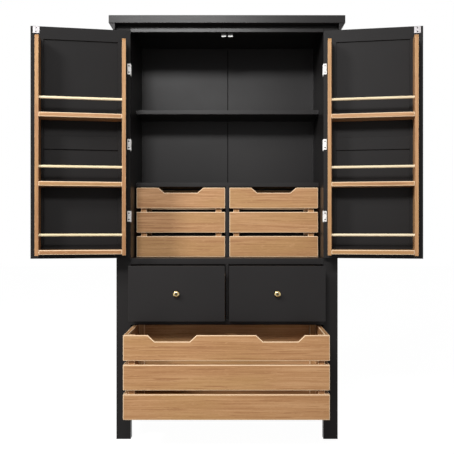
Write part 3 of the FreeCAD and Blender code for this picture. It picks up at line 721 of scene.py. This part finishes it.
STRIKE_SCREW_RISE = 8.0 * MM
STRIKE_SCREW_RADIUS = 3.2 * MM
STRIKE_SHANK_RADIUS = 1.6 * MM
STRIKE_SCREW_LENGTH = 9.0 * MM
STRIKE_SCREW_PROUD = 0.25 * MM
STRIKE_SCREW_TURNS = (0.4, 1.1)


def strike_screws(node):
    """Two screws in a strike plate, one above the other."""
    mesh = frame["nodes"][node].data
    outward = min((face.normal for face in mesh.polygons), key=lambda normal: normal.y).copy()
    corners = [corner.co for corner in mesh.vertices]
    low, high = (Vector(corner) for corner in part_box(node))
    middle = (low + high) / 2
    front = max(corner.dot(outward) for corner in corners)
    middle += outward * (front - middle.dot(outward) + STRIKE_SCREW_PROUD)
    screws = [
        cross_screw(
            middle + Vector((0, 0, rise)), outward, STRIKE_SCREW_RADIUS, STRIKE_SHANK_RADIUS,
            STRIKE_SCREW_LENGTH, turn
        )
        for rise, turn in zip((-STRIKE_SCREW_RISE, STRIKE_SCREW_RISE), STRIKE_SCREW_TURNS)
    ]
    new_piece(node + ".screws", joined(screws), "steel", BODIES[node], SCREW_STEEL)


SCREW_NODES = ("hinge_frame_screws", "left_hinge_door_screws", "right_hinge_door_screws")

for node in list(frame["nodes"]):
    if node in SCREW_NODES:
        screws_from_node(node)
    else:
        piece_from_node(node)

strike_screws("left_strike_plate")
strike_screws("right_strike_plate")


# The pale lips at the foot of the catches

LIP_INSET = 1.0 * MM
LIP_HEIGHT = 5.5 * MM
LIP_DEPTH = 1.2 * MM
LIP_PROUD = 0.25 * MM
LIP_BEVEL = 0.4 * MM


def block(low, high, width, chance):
    """A block between two corners, with its edges rounded."""
    corners = [(x, y, z) for z in (low[2], high[2]) for y in (low[1], high[1]) for x in (low[0], high[0])]
    faces = [(0, 2, 3, 1), (4, 5, 7, 6), (0, 1, 5, 4), (2, 6, 7, 3), (0, 4, 6, 2), (1, 3, 7, 5)]
    return softened(corners, faces, width, chance)


def catch_lips():
    """A pale lip across the foot of each catch, a little proud of its front."""
    chance = random.Random(f"{SEED} lips")
    lips = []
    for corners, _ in solids_of(frame["nodes"]["door_catches"].data):
        foot = min(corner[2] for corner in corners)
        under = [corner for corner in corners if corner[2] < foot + LIP_PROUD]
        low = np.min(under, axis=0)
        high = np.max(under, axis=0)
        lips.append(block(
            (low[0] + LIP_INSET, low[1] - LIP_PROUD, foot + LIP_PROUD),
            (high[0] - LIP_INSET, low[1] + LIP_DEPTH, foot + LIP_PROUD + LIP_HEIGHT),
            LIP_BEVEL,
            chance,
        ))
    new_piece("catch_lips", joined(lips), "catch_plastic", BODIES["door_catches"], PALE_PLASTIC)


catch_lips()


# Floor and light

FLOOR_HALF = 14.0
FLOOR_CELLS = (60, 60, 60)
FLOOR_DARK = (0.14, 0.14, 0.14, 1)
FLOOR_LIGHT = (0.16, 0.16, 0.16, 1)
FLOOR_ROUGHNESS = 0.9
FLOOR_GLOW = 0.98
WHITE = (1, 1, 1, 1)
AMBIENT = 0.08
LAMP_TARGET = Vector((0.0, 0.0, 1.0))


def floor_material():
    """A pale floor that the camera and reflections see as white, and that keeps the shadow."""
    material, tree, shader, place = new_material("pale floor")
    speckle = noise(tree, place, FLOOR_CELLS, detail=2.0)
    colour = mixed(tree, speckle, FLOOR_DARK, FLOOR_LIGHT)
    set_shader(tree, shader, Base_Color=colour, Roughness=FLOOR_ROUGHNESS, Specular_IOR_Level=0.0)
    plain = shader.outputs[0]
    glow = add(tree, "ShaderNodeEmission", {"Color": WHITE, "Strength": FLOOR_GLOW}).outputs[0]
    glowing = add(tree, "ShaderNodeAddShader", {0: plain, 1: glow}).outputs[0]
    result = add(tree, "ShaderNodeMixShader", {0: seen_ray(tree), 1: plain, 2: glowing}).outputs[0]
    tree.links.new(result, tree.nodes["Material Output"].inputs["Surface"])
    return material


def seen_ray(tree):
    """1 for camera, glossy and transmission rays."""
    path = add(tree, "ShaderNodeLightPath")
    seen = calculate(tree, "MAXIMUM", path.outputs["Is Camera Ray"], path.outputs["Is Glossy Ray"])
    return calculate(tree, "MAXIMUM", seen, path.outputs["Is Transmission Ray"])


def make_floor():
    """A wide flat floor under the cabinet."""
    half = FLOOR_HALF
    mesh = bpy.data.meshes.new("floor")
    corners = [(-half, -half, 0), (half, -half, 0), (half, half, 0), (-half, half, 0)]
    mesh.from_pydata(corners, [], [(0, 1, 2, 3)])
    mesh.materials.append(floor_material())
    floor = bpy.data.objects.new("floor", mesh)
    bpy.context.scene.collection.objects.link(floor)


def make_world():
    """White behind the object, and a weak even light on it."""
    world = bpy.data.worlds.new("world")
    bpy.context.scene.world = world
    world.use_nodes = True
    tree = world.node_tree
    tree.nodes.clear()
    white = add(tree, "ShaderNodeBackground", {"Color": WHITE, "Strength": 1.0}).outputs[0]
    ambient = add(tree, "ShaderNodeBackground", {"Color": WHITE, "Strength": AMBIENT}).outputs[0]
    result = add(tree, "ShaderNodeMixShader", {0: seen_ray(tree), 1: ambient, 2: white}).outputs[0]
    output = add(tree, "ShaderNodeOutputWorld", {"Surface": result})
    output.is_active_output = True


def area_light(name, place, width, height, power, in_gloss=True):
    """A soft light, pointed at the cabinet's middle; in_gloss is whether reflections show it."""
    light = bpy.data.lights.new(name, "AREA")
    light.shape = "RECTANGLE"
    light.size = width
    light.size_y = height
    light.energy = power
    lamp = bpy.data.objects.new(name, light)
    bpy.context.scene.collection.objects.link(lamp)
    lamp.location = place
    lamp.rotation_euler = (LAMP_TARGET - Vector(place)).to_track_quat("-Z", "Y").to_euler()
    lamp.visible_camera = False
    lamp.visible_glossy = in_gloss


make_floor()
make_world()
area_light("key", place=(-0.72, -3.55, 2.8), width=0.45, height=0.6, power=62)
area_light("left fill", place=(-2.5, -2.75, 3.1), width=0.8, height=0.8, power=100)
area_light("high fill", place=(-0.2, -3.4, 2.74), width=0.7, height=0.4, power=46)
area_light("low fill", place=(0.1, -5.0, 1.1), width=1.6, height=1.6, power=26, in_gloss=False)


# Camera

CAMERA_PLACE = (0.029, -3.1575, 0.950)
LENS = 54.6
SENSOR = 36.0
LEVEL = math.radians(90)
SHIFT_RIGHT_PIXELS = -6.5
SHIFT_UP_PIXELS = 1.0

camera_data = bpy.data.cameras.new("camera")
camera_data.lens = LENS
camera_data.sensor_width = SENSOR
camera_data.shift_x = SHIFT_RIGHT_PIXELS / IMAGE_SIDE
camera_data.shift_y = SHIFT_UP_PIXELS / IMAGE_SIDE
camera = bpy.data.objects.new("camera", camera_data)
camera.location = CAMERA_PLACE
camera.rotation_euler = (LEVEL, 0.0, 0.0)
bpy.context.scene.collection.objects.link(camera)
bpy.context.scene.camera = camera

bpy.context.scene.view_settings.view_transform = "Standard"
